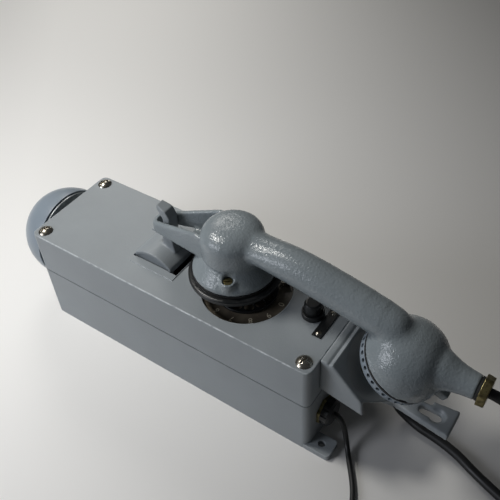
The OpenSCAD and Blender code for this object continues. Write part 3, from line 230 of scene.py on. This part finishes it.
# Olive-brown nuts and screws with yellow glints
agedBrass = handledMetal("handled_brass", "#5b543a", "#9a8f66", (0.26, 0.44), 4)
# Pale satin cans
pressedCan = handledMetal("pressed_aluminium_can", "#8f9496", "#b9bdbf", (0.3, 0.45), 6)
# Brown ring with a low shine, behind the figures
etchedBronze = mouldedSkin("browned_bronze_sheet", "#514a40", "#736a5c", (0.28, 0.4), 1.5, 0.01)
# Near black and smooth, with a clear highlight
blackPlastic = mouldedSkin("black_phenolic_moulding", "#0d0f10", "#16181a", (0.32, 0.44), 0.6, 0.008)
# Matt black seals, gauze and plug
blackRubber = mouldedSkin("black_moulded_rubber", "#101112", "#1b1c1d", (0.5, 0.7), 0.5, 0.012)
# Black sheath with a slight bloom
cordRubber = mouldedSkin("black_rubber_cord_sheath", "#0d0e0f", "#191a1b", (0.42, 0.6), 0.6, 0.015)
# Seam between the castings, painted with them
greyRubber = mouldedSkin("grey_painted_rubber", "#6c7275", "#767c7f", (0.5, 0.6), 0.6, 0.01)
# Reddish-brown boards with a satin face
brownPhenolic = mouldedSkin("brown_phenolic_board", "#3a231a", "#553426", (0.4, 0.55), 1.2, 0.01)
# Flat pale figures
figurePaint = mouldedSkin("tan_figure_paint", "#c2b8a2", "#d2c9b5", (0.5, 0.6), 0.8, 0.004)
# Reddish ribs under varnish
copperWinding = woundWire("varnished_copper_winding", "#5c2c1a", "#a35a34")
bySlot = {
    "grey_paint": housingEnamel, "black_rubber": blackRubber, "nickel": nickelPlate,
    "zinc_steel": zincPlate, "brass": agedBrass, "bronze_ring": etchedBronze,
    "black_plastic": blackPlastic, "phenolic": brownPhenolic, "winding": copperWinding,
    "capsule_metal": pressedCan, "cord_rubber": cordRubber,
}
for name, node in nodes.items():
    node.data.materials.clear()
    node.data.materials.append(bySlot[slotOf[name]])
nodes["cover_gasket"].data.materials[0] = greyRubber
print("materials made")


# Meshes, objects and copies of the solids
def plainMesh(name, bm):
    mesh = bpy.data.meshes.new(name)
    bm.to_mesh(mesh)
    bm.free()
    return mesh


def finishMesh(bm, name, crease):
    for face in bm.faces:
        face.smooth = True
    bmesh.ops.recalc_face_normals(bm, faces=bm.faces)
    mesh = plainMesh(name, bm)
    mesh.set_sharp_from_angle(angle=radians(crease))
    return mesh


def looseObject(name, data):
    made = bpy.data.objects.new(name, data)
    scene.collection.objects.link(made)
    return made


def takeMesh(loose):
    shaped = loose.evaluated_get(bpy.context.evaluated_depsgraph_get())
    mesh = bpy.data.meshes.new_from_object(shaped)
    bpy.data.objects.remove(loose)
    return mesh


def addPiece(name, mesh, material, node=None, body=None):
    made = looseObject(name, mesh)
    mesh.materials.clear()
    mesh.materials.append(material)
    if node:
        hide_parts(node)
        body = nodes[node]["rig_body"]
    if body:
        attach(made, body)
    return made


def mergedCopy(node):
    bm = bmesh.new()
    bm.from_mesh(nodes[node].data)
    bmesh.ops.remove_doubles(bm, verts=bm.verts, dist=2e-6)
    return bm


def inBox(point, box):
    return all(low < v < high for v, (low, high) in zip(point, box))


# Machined or pressed piece: the solid with its sharp edges eased by a small round, which carries
# a pale edge of rubbed paint and painted highlight. Edges in a hollow stay sharp, short and low
# edges get the fine round
easing = {"corner": 35, "flat": 0.5, "crease": 40, "fine": 0.25}  # degrees, then millimetres


def easedPiece(node, material, ease):
    bm = mergedCopy(node)
    edge_wear_and_highlight = bm.verts.layers.float.new("edge_wear_and_highlight")
    for vert in bm.verts:
        if "lift" in ease and vert.co.z > ease["lift"][0] * mm:
            vert.co.z += ease["lift"][1] * mm
    flat, corner = radians(easing["flat"]), radians(easing["corner"])
    bmesh.ops.dissolve_limit(bm, angle_limit=flat, verts=bm.verts, edges=bm.edges)
    sharp = [e for e in bm.edges if e.is_manifold and e.calc_face_angle() > corner]
    for box in ease.get("hollow", ()):
        sharp = [e for e in sharp if not all(inBox(v.co / mm, box) for v in e.verts)]
    fine = [e for e in sharp if e.calc_length() < ease.get("short", 0) * mm
            or "low" in ease and all(inBox(v.co / mm, ease["low"]) for v in e.verts)]
    known = set(fine)
    bold = [e for e in sharp if e not in known]
    rounds = set()
    for edges, width in ((fine, easing["fine"]), (bold, ease["width"])):
        eased = bmesh.ops.bevel(bm, geom=[e for e in edges if e.is_valid], offset=width * mm,
                                segments=ease.get("segments", 2), profile=0.5, affect="EDGES",
                                clamp_overlap=False, material=-1)
        rounds.update(eased["faces"])
    # Marks the rounds' vertices for the pale edge: rubbed paint and a painted highlight
    for vert in bm.verts:
        vert[edge_wear_and_highlight] = float(all(face in rounds for face in vert.link_faces))
    bmesh.ops.remove_doubles(bm, verts=bm.verts, dist=1e-6)
    name = node + "_eased"
    made = addPiece(name, finishMesh(bm, name, easing["crease"]), material, node)
    made.modifiers.new("weighted", "WEIGHTED_NORMAL").keep_sharp = True
    return made


# Casting: the solid remade as a fine even skin whose edges and inner corners are smoothed round
casting = {"smooth": 0.5, "crease": 80}  # share of the way per round, and degrees


def relax(bm, verts, rounds):
    for _ in range(rounds):
        bmesh.ops.smooth_vert(bm, verts=verts, factor=casting["smooth"],
                              use_axis_x=True, use_axis_y=True, use_axis_z=True)


def clearBore(vert, bore):  # keeps a bore open round its pin
    arm = vert.co - Vector((bore["x"] * mm, vert.co.y, bore["z"] * mm))
    if arm.length < bore["reach"] * mm:
        vert.co += arm.normalized() * (bore["radius"] * mm - arm.length)


def lowerBack(vert, drop):  # lets the handle's back down beside the ear cup
    level, slope = drop["middle"]
    crown = (vert.co.z / mm - level + slope * vert.co.x / mm) / drop["half"]  # 1 on the back
    near = exp(-((vert.co.x / mm - drop["x"]) / drop["spread"]) ** 2)
    vert.co.z -= drop["depth"] * min(max(crown, 0), 1) * near * mm


def fillCup(vert, cup):  # draws the ear cup's skin out to a full, flat-topped dome
    arm = vert.co - Vector(cup["centre"]) * mm
    wide = arm.to_2d().length / (cup["radius"] * mm)
    high = arm.z / (cup["height"] * mm)
    full = cup["fullness"]
    share = wide if high < 0 else (wide ** full + high ** full) ** (1 / full)
    inside = cup["core"] < share < 1
    above = wide < cup["crown"] and cup["core"] < high and share > 1
    if vert.co.z > cup["foot"] * mm and (inside or above):
        vert.co += Vector((arm.x, arm.y, max(arm.z, 0))) * (1 / share - 1)


def castPiece(node, material, cast):
    bm = mergedCopy(node)
    if "lug" in cast:
        lug = cast["lug"]
        place = Matrix.Translation([v * mm for v in lug["place"]])
        turn = place @ Matrix.Rotation(radians(lug["tilt"]), 4, "Y")
        bmesh.ops.create_cube(bm, size=mm, matrix=turn @ Matrix.Diagonal((*lug["size"], 1)))
    rough = looseObject(node + "_rough", plainMesh(node + "_rough", bm))
    even = rough.modifiers.new("even", "REMESH")
    even.mode = "VOXEL"
    even.voxel_size = cast["voxel"] * mm
    bm = bmesh.new()
    bm.from_mesh(takeMesh(rough))
    relax(bm, bm.verts, cast["rounds"])
    for vert in bm.verts:
        for key, shape in (("bore", clearBore), ("drop", lowerBack), ("cup", fillCup)):
            if key in cast:
                shape(vert, cast[key])
    for soft in cast.get("soft", ()):
        low, high = soft["x"]
        root = [v for v in bm.verts if low < v.co.x / mm < high and v.co.z / mm > soft["z"]]
        relax(bm, root, soft["rounds"])
    name = node + "_casting"
    return addPiece(name, finishMesh(bm, name, casting["crease"]), material, node)


handsetCast = {
    "voxel": 1.0, "rounds": 6,
    "lug": {"place": (234.5, 0, 96.0), "tilt": 32, "size": (14, 11, 8)},
    "drop": {"x": 70, "depth": 5.6, "spread": 27, "middle": (172.3, 0.1677), "half": 14.7},
    "cup": {"centre": (49.5, 0, 154.6), "radius": 26.8, "height": 20.1, "fullness": 3.0,
            "foot": 146.0, "core": 0.5, "crown": 0.75},
    "soft": (  # roots of the handle and the neck
        {"x": (170, 216), "z": 131, "rounds": 26},
        {"x": (56, 96), "z": 142, "rounds": 12},
        {"x": (62, 90), "z": 145, "rounds": 16},
        {"x": (184, 222), "z": 127, "rounds": 60},
        {"x": (214, 248), "z": 101, "rounds": 26},
    ),
}
rockerCast = {
    "voxel": 0.6, "rounds": 6,
    "bore": {"x": -27, "z": 90, "reach": 4.4, "radius": 3.4},
}
bracketCast = {"voxel": 0.9, "rounds": 4}
castings = {
    "handset_body": (handsetEnamel, handsetCast),
    "hook_rocker": (housingEnamel, rockerCast),
    "cradle_bracket": (housingEnamel, bracketCast),
}
for node, (material, cast) in castings.items():
    made = castPiece(node, material, cast)
    print("cast", node, len(made.data.polygons))

coverEase = {
    "width": 1.1, "segments": 3,
    "low": ((-51, 3), (-30, 30), (100, 109)),  # frame of the hook's window
    "hollow": [((-145.5, 145.5), (-45.5, 45.5), (40, 101.2))],
}
housingEase = {
    "width": 0.55, "segments": 2,
    "low": ((140, 200), (-60, 60), (-1, 6.6)),  # lower lugs
    "hollow": [((-145.5, 145.5), (-45.5, 45.5), (5.5, 75))],
}
earCapEase = {
    "width": 0.7, "segments": 3, "short": 1.2,
    "hollow": [((27, 72), (-22.5, 22.5), (110, 140)), ((0, 99), (-50, 50), (125.5, 130))],
}
easings = {
    "front_cover": (housingEnamel, coverEase),
    "rear_housing": (housingEnamel, housingEase),
    "gong": (gongEnamel, {"width": 0.6, "segments": 3}),
    "cover_screws": (nickelPlate, {"width": 0.3}),
    "ear_screws": (agedBrass, {"width": 0.2, "lift": (134.0, 4.0)}),
    "ear_cap": (blackPlastic, earCapEase),
    "finger_wheel": (blackPlastic, {"width": 0.4}),
    "finger_stop": (nickelPlate, {"width": 0.3}),
    "dial_cap": (nickelPlate, {"width": 0.3}),
    "push_button": (blackPlastic, {"width": 0.9, "segments": 3}),
    "button_collar": (blackPlastic, {"width": 0.5}),
    "label_plate": (blackPlastic, {"width": 0.25}),
    "neck_nut": (agedBrass, {"width": 0.6}),
    "line_gland": (agedBrass, {"width": 0.5}),
    "spare_plug": (agedBrass, {"width": 0.5}),
    "cord_gland": (agedBrass, {"width": 0.5}),
    "line_plug": (blackRubber, {"width": 0.8, "segments": 3}),
}
for node, (material, ease) in easings.items():
    made = easedPiece(node, material, ease)
    print("eased", node, len(made.data.polygons))


# Mouthpiece cap: a spun shell with its sound holes and screw sinks cut, and dark gauze behind
capLook = {
    "place": (204.5, 0, 113.0), "tilt": 32, "seat": -4.6, "steps": 120, "crease": 30,
    "profile": [(0, 0), (33.3, 0), (33.6, -0.3), (33.6, -4.6), (33.3, -5.6), (32.5, -8),
                (29, -10.7), (28, -11.1), (0, -13)],
    "holes": {"count": 36, "radius": 1.75, "level": -2.7, "inner": 31.5, "depth": 5},
    "sinks": {"angles": (60, 180, 300), "ring": 28.8, "radius": 2.6, "top": -6, "depth": 8},
    "gauze": {"radius": 32.0, "span": (-5.2, -0.3), "thick": 0.3, "steps": 72, "crease": 40},
}
mouthFrame = (Matrix.Translation([v * mm for v in capLook["place"]])
              @ Matrix.Rotation(radians(capLook["tilt"]), 4, "Y")
              @ Matrix.Translation((0, 0, capLook["seat"] * mm)))


def spunShell(profile, steps):
    bm = bmesh.new()
    verts = [bm.verts.new((r * mm, 0, z * mm)) for r, z in profile]
    edges = [bm.edges.new(pair) for pair in zip(verts, verts[1:])]
    bmesh.ops.spin(bm, geom=verts + edges, cent=(0, 0, 0), axis=(0, 0, 1), angle=2 * pi,
                   steps=steps, use_merge=True)
    bmesh.ops.remove_doubles(bm, verts=bm.verts, dist=1e-6)
    bmesh.ops.recalc_face_normals(bm, faces=bm.faces)
    return bm


def addDrill(bm, drill, segments, place):
    bmesh.ops.create_cone(bm, cap_ends=True, segments=segments, radius1=drill["radius"] * mm,
                          radius2=drill["radius"] * mm, depth=drill["depth"] * mm, matrix=place)


drills = bmesh.new()
holes, sinks, gauze = capLook["holes"], capLook["sinks"], capLook["gauze"]
for i in range(holes["count"]):
    outward = Matrix.Rotation(2 * pi * (i + 0.5) / holes["count"], 4, "Z")
    reach = (holes["inner"] + holes["depth"] / 2) * mm
    middle = Matrix.Translation((reach, 0, holes["level"] * mm))
    addDrill(drills, holes, 16, outward @ middle @ Matrix.Rotation(pi / 2, 4, "Y"))
for angle in sinks["angles"]:
    depth = (sinks["top"] - sinks["depth"] / 2) * mm
    middle = Matrix.Translation((sinks["ring"] * mm, 0, depth))
    addDrill(drills, sinks, 24, Matrix.Rotation(radians(angle), 4, "Z") @ middle)
shellMesh = plainMesh("cap_shell", spunShell(capLook["profile"], capLook["steps"]))
shell = looseObject("cap_shell", shellMesh)
cutter = looseObject("cap_cutter", plainMesh("cap_cutter", drills))
shell.modifiers.new("cut", "BOOLEAN").object = cutter
bm = bmesh.new()
bm.from_mesh(takeMesh(shell))
bpy.data.objects.remove(cutter)
bm.transform(mouthFrame)
mesh = finishMesh(bm, "mouth_cap_shell", capLook["crease"])
addPiece("mouth_cap_shell", mesh, gongEnamel, "mouth_cap")
bm = spunShell([(gauze["radius"], level) for level in gauze["span"]], gauze["steps"])
bmesh.ops.solidify(bm, geom=bm.faces, thickness=gauze["thick"] * mm)
bm.transform(mouthFrame)
mesh = finishMesh(bm, "mouth_gauze", gauze["crease"])
addPiece("mouth_gauze", mesh, blackRubber, body="handset")
print("mouthpiece cap cut")

# Sill in the hook's window, which closes the gap before the rocker's end
sill = {"x": (-46.0, -8.2), "y": (-21.6, -19.95), "z": (102.6, 106.85), "round": 0.4}
bm = bmesh.new()
spans = [sill[axis] for axis in "xyz"]
middle = Matrix.Translation([(low + high) / 2 * mm for low, high in spans])
sides = Matrix.Diagonal([high - low for low, high in spans] + [1])
bmesh.ops.create_cube(bm, size=mm, matrix=middle @ sides)
bmesh.ops.bevel(bm, geom=bm.edges, offset=sill["round"] * mm, segments=2, profile=0.5,
                affect="EDGES", material=-1)
mesh = finishMesh(bm, "window_sill", easing["crease"])
addPiece("window_sill", mesh, housingEnamel, body="housing")
print("sill set")


# Cords: listed routes and worked-out coils, in millimetres
cordMake = {"steps": 3, "climb": 0.5, "sides": 4}  # points per span, turns per climb, roundness


def smoothRoute(points, steps):
    ends = [2 * points[0] - points[1]] + points + [2 * points[-1] - points[-2]]
    made = []
    for a, b, c, d in zip(ends, ends[1:], ends[2:], ends[3:]):
        for k in range(steps):
            t = k / steps
            made.append(((2 * b) + (c - a) * t + (2 * a - 5 * b + 4 * c - d) * t * t
                         + (3 * b - a - 3 * c + d) * t ** 3) / 2)
    return made + [points[-1]]


def climb(s):
    s = min(max(s, 0), 1)
    return s * s * (3 - 2 * s)


def coilRoute(coil):
    turns, layers, rise = coil["turns"], coil["layers"], cordMake["climb"]
    count = ceil(turns * layers * coil["rings"])
    made = []
    for i in range(count + 1):
        t = i / count * turns * layers
        layer = min(int(t / turns), layers - 1)
        part = t - layer * turns
        inward = part if layer % 2 == 0 else turns - part
        radius = coil["radius"] - coil["step"] * inward
        risen = sum(climb((t - k * turns + rise / 2) / rise) for k in range(1, layers))
        angle = radians(coil["start"] + 360 * t)
        x, y = coil["centre"]
        made.append(Vector((x + radius * cos(angle), y + radius * sin(angle),
                            coil["low"] + risen * coil["step"])))
    return made


def tubeMesh(name, points, diameter):
    curve = bpy.data.curves.new(name, "CURVE")
    curve.dimensions = "3D"
    curve.bevel_depth = diameter / 2 * mm
    curve.bevel_resolution = cordMake["sides"]
    curve.use_fill_caps = True
    spline = curve.splines.new("POLY")
    spline.points.add(len(points) - 1)
    for point, place in zip(spline.points, points):
        point.co = (*(place * mm), 1)
    mesh = takeMesh(looseObject(name, curve))
    for face in mesh.polygons:
        face.use_smooth = True
    return mesh


def routeLength(points):
    return sum((b - a).length for a, b in zip(points, points[1:])) * mm


handsetCord = {
    "diameter": 8,
    "lead": [(264.5, 0, 116.9), (272.5, 0, 116.6), (283, 1, 112.8), (293, 4.5, 104),
             (300, 11, 90), (304, 20, 74), (305, 32, 57), (305, 45, 42), (306, 58, 30),
             (309, 70.5, 21), (316, 82, 15), (327, 89, 13.8), (337, 89, 13.8)],
    "coil": {"centre": (345, 40), "radius": 49, "start": -90, "turns": 1.25, "layers": 2,
             "step": 8.8, "low": 5.0, "rings": 48},
    "back": [(161, 25, 32), (169, 25, 32), (180, 24.6, 29.5), (191, 23.6, 21), (200, 22.4, 11),
             (211, 21, 5.5), (222, 18.6, 4.2), (235, 17, 4.1), (248, 14.5, 4.1), (260, 11, 4.1),
             (271, 6.3, 4.1), (286, 0.5, 4.1), (300.5, -4.5, 4.1), (311, -7.5, 4.3),
             (320, -9, 4.7), (328.5, -9, 5), (337, -9, 5)],
    "still": (0.27, 0, 0.037),  # a point, in metres
    "lifted": (0.27, 0, 0.112),  # a point, in metres
}
lead = [Vector(p) for p in handsetCord["lead"]]
back = [Vector(p) for p in handsetCord["back"]]
coil = coilRoute(handsetCord["coil"])
handsetPath = smoothRoute(back + coil + lead[::-1], cordMake["steps"])
mesh = tubeMesh("handset_cord", handsetPath, handsetCord["diameter"])
handsetTube = addPiece("handset_cord", mesh, cordRubber)
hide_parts("handset_cord_lead", "handset_cord_coil", "handset_cord_return")
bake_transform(handsetTube)

lineCord = {
    "diameter": 4.6,
    "lead": [(157, -25, 32), (162, -25, 32), (167, -25.2, 29.5), (171, -25.6, 21.5),
             (174, -27, 12.5), (179, -32.5, 5), (186, -42, 2.6), (192, -50, 2.5),
             (198.5, -59.5, 2.5), (204, -70, 2.5), (208, -81, 2.5), (215, -91.5, 2.6),
             (226, -100, 2.8), (241, -105, 3.1), (260, -106, 3.3), (275, -106, 3.3),
             (285.4, -106, 3.3)],
    "coil": {"centre": (290, -75), "radius": 31, "start": -90, "turns": 1.5, "layers": 4,
             "step": 5.4, "low": 3.3, "rings": 48},
    "tail": [(294.6, -106, 19.5), (302, -106, 19.3), (311, -105, 17), (320, -103, 13.5),
             (328, -101.5, 10.8), (336, -101, 10), (344, -101, 10)],
}
lead = [Vector(p) for p in lineCord["lead"]]
tail = [Vector(p) for p in lineCord["tail"]]
linePath = smoothRoute(lead + coilRoute(lineCord["coil"]) + tail, cordMake["steps"])
mesh = tubeMesh("line_cord", linePath, lineCord["diameter"])
lineTube = addPiece("line_cord", mesh, cordRubber, body="housing")
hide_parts("line_cord_lead", "line_cord_coil", "line_cord_tail")
print("cords laid", routeLength(handsetPath), routeLength(linePath))


# Figures on the number ring, beside their finger holes
figures = {
    "ring": 32.2, "size": 7.4, "height": 0.12, "centre": (60, 0, 102),
    "first": 113, "step": 28, "count": 10, "smoothness": 4,
}
bm = bmesh.new()
for i in range(figures["count"]):
    letter = bpy.data.curves.new("figure", "FONT")
    letter.body = str((i + 1) % 10)
    letter.size = figures["size"] * mm
    letter.extrude = figures["height"] * mm
    letter.align_x = "CENTER"
    letter.align_y = "CENTER"
    letter.resolution_u = figures["smoothness"]
    mesh = takeMesh(looseObject("figure", letter))
    angle = radians(figures["first"] + figures["step"] * i)
    turn = Matrix.Rotation(angle - pi / 2, 4, "Z")
    spot = Vector((cos(angle), sin(angle), 0)) * figures["ring"]
    mesh.transform(Matrix.Translation((spot + Vector(figures["centre"])) * mm) @ turn)
    bm.from_mesh(mesh)
mesh = plainMesh("dial_figures", bm)
addPiece("dial_figures", mesh, figurePaint, body="housing")
print("figures set")


# Matt paper floor: pale, with painted shade that greys it towards the far right where the light
# falls off, and no shine
floorLook = {
    "near": "#f0efed", "far": "#7c7b79", "size": 6.0,
    "toward": (0.75, 0.66, 0.0), "span": (-0.2, 0.8),  # metres along that direction
}
floorPaper, tree, shader, at = startMaterial("paper_floor_with_painted_shade", Roughness=0.85)
along = {1: floorLook["toward"]}
across = addNode(tree, "VectorMath", {"operation": "DOT_PRODUCT"}, along, {0: at["Vector"]}, "Value")
# Painted shade: the far colour darkens the floor along this direction
low, high = floorLook["span"]
share = addNode(tree, "MapRange", {}, {1: low, 2: high}, {0: across})
tones = {6: toLinear(floorLook["near"]), 7: toLinear(floorLook["far"])}
colour = addNode(tree, "Mix", inColour, tones, {0: share}, 2)
tree.links.new(colour, shader.inputs["Base Color"])
bm = bmesh.new()
bmesh.ops.create_grid(bm, x_segments=1, y_segments=1, size=floorLook["size"] / 2)
floorSheet = looseObject("floor", plainMesh("floor", bm))
floorSheet.data.materials.append(floorPaper)


# Lamps and the room's light, in metres and watts
def addLamp(name, lamp):
    data = bpy.data.lights.new(name, "AREA")
    data.shape = "DISK"
    data.size = lamp["size"]
    data.energy = lamp["power"]
    data.spread = radians(lamp["spread"])
    data.color = toLinear(lamp["colour"])[:3]
    made = looseObject(name, data)
    made.location = lamp["place"]
    aim = Vector(lamp["aim"]) - Vector(lamp["place"])
    made.rotation_euler = aim.to_track_quat("-Z", "Y").to_euler()


addLamp("window", {"place": (-0.44, -0.14, 0.85), "aim": (-0.12, 0.0, 0.1), "size": 0.2,
                   "power": 2.2, "spread": 120, "colour": "#fffdf8"})
addLamp("bounce", {"place": (-0.62, -0.95, 0.6), "aim": (-0.1, -0.04, 0.05), "size": 0.6,
                   "power": 2.4, "spread": 110, "colour": "#f2f6ff"})
addLamp("far_window", {"place": (-0.8, 0.75, 0.9), "aim": (-0.5, 0.65, 0), "size": 0.5,
                       "power": 2.4, "spread": 120, "colour": "#fffdf8"})
room = {"colour": "#dfe3e8", "strength": 0.07}
world = bpy.data.worlds.new("room")
scene.world = world
world.use_nodes = True
sky = world.node_tree.nodes["Background"]
sky.inputs["Color"].default_value = toLinear(room["colour"])
sky.inputs["Strength"].default_value = room["strength"]
print("stage lit")
